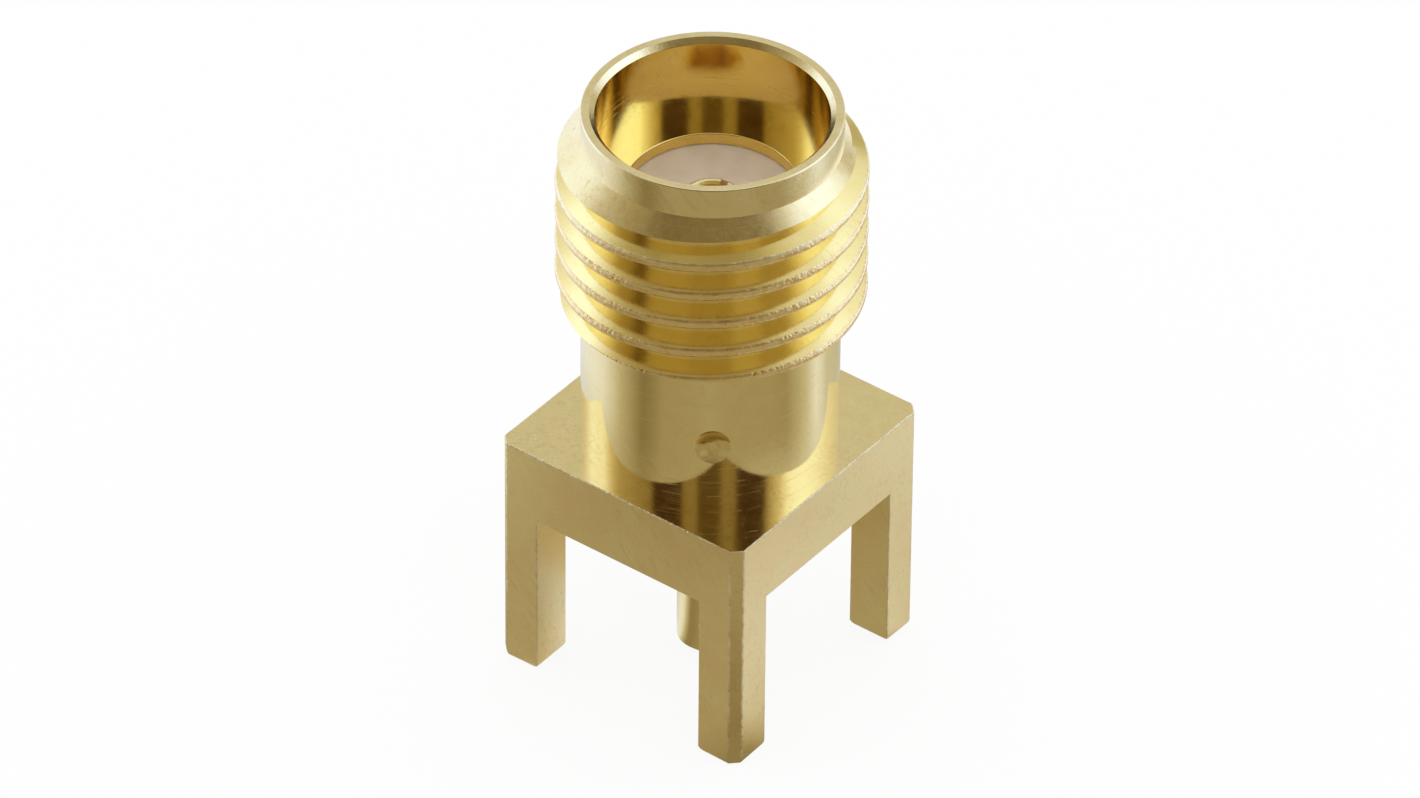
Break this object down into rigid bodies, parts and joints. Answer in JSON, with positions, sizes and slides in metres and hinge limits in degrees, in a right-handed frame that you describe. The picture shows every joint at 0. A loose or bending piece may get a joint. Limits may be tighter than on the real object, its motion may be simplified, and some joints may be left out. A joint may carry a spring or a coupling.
{
  "type": "coaxial connector",
  "caption": "Straight board-mount coaxial jack: threaded barrel with a mating bore, insulator and slotted centre contact on a square base with corner legs and a solder tail",
  "frame": {"origin": "On the axis of the barrel, in the underside of the square base, which is the plane that sits on the board", "axes": "+Z along the barrel towards its mouth; the sides of the base are parallel to X and Y"},
  "size_m": [0.0062, 0.0062, 0.0134],
  "materials": {
    "gold_body": "gold plated, satin with polished turned faces",
    "insulator": "matte, slightly translucent",
    "gold_contact": "gold plated, polished"
  },
  "bodies": {
    "root": {"body": "gold_body", "insulator": "insulator", "contact": "gold_contact"}
  },
  "joints": []
}
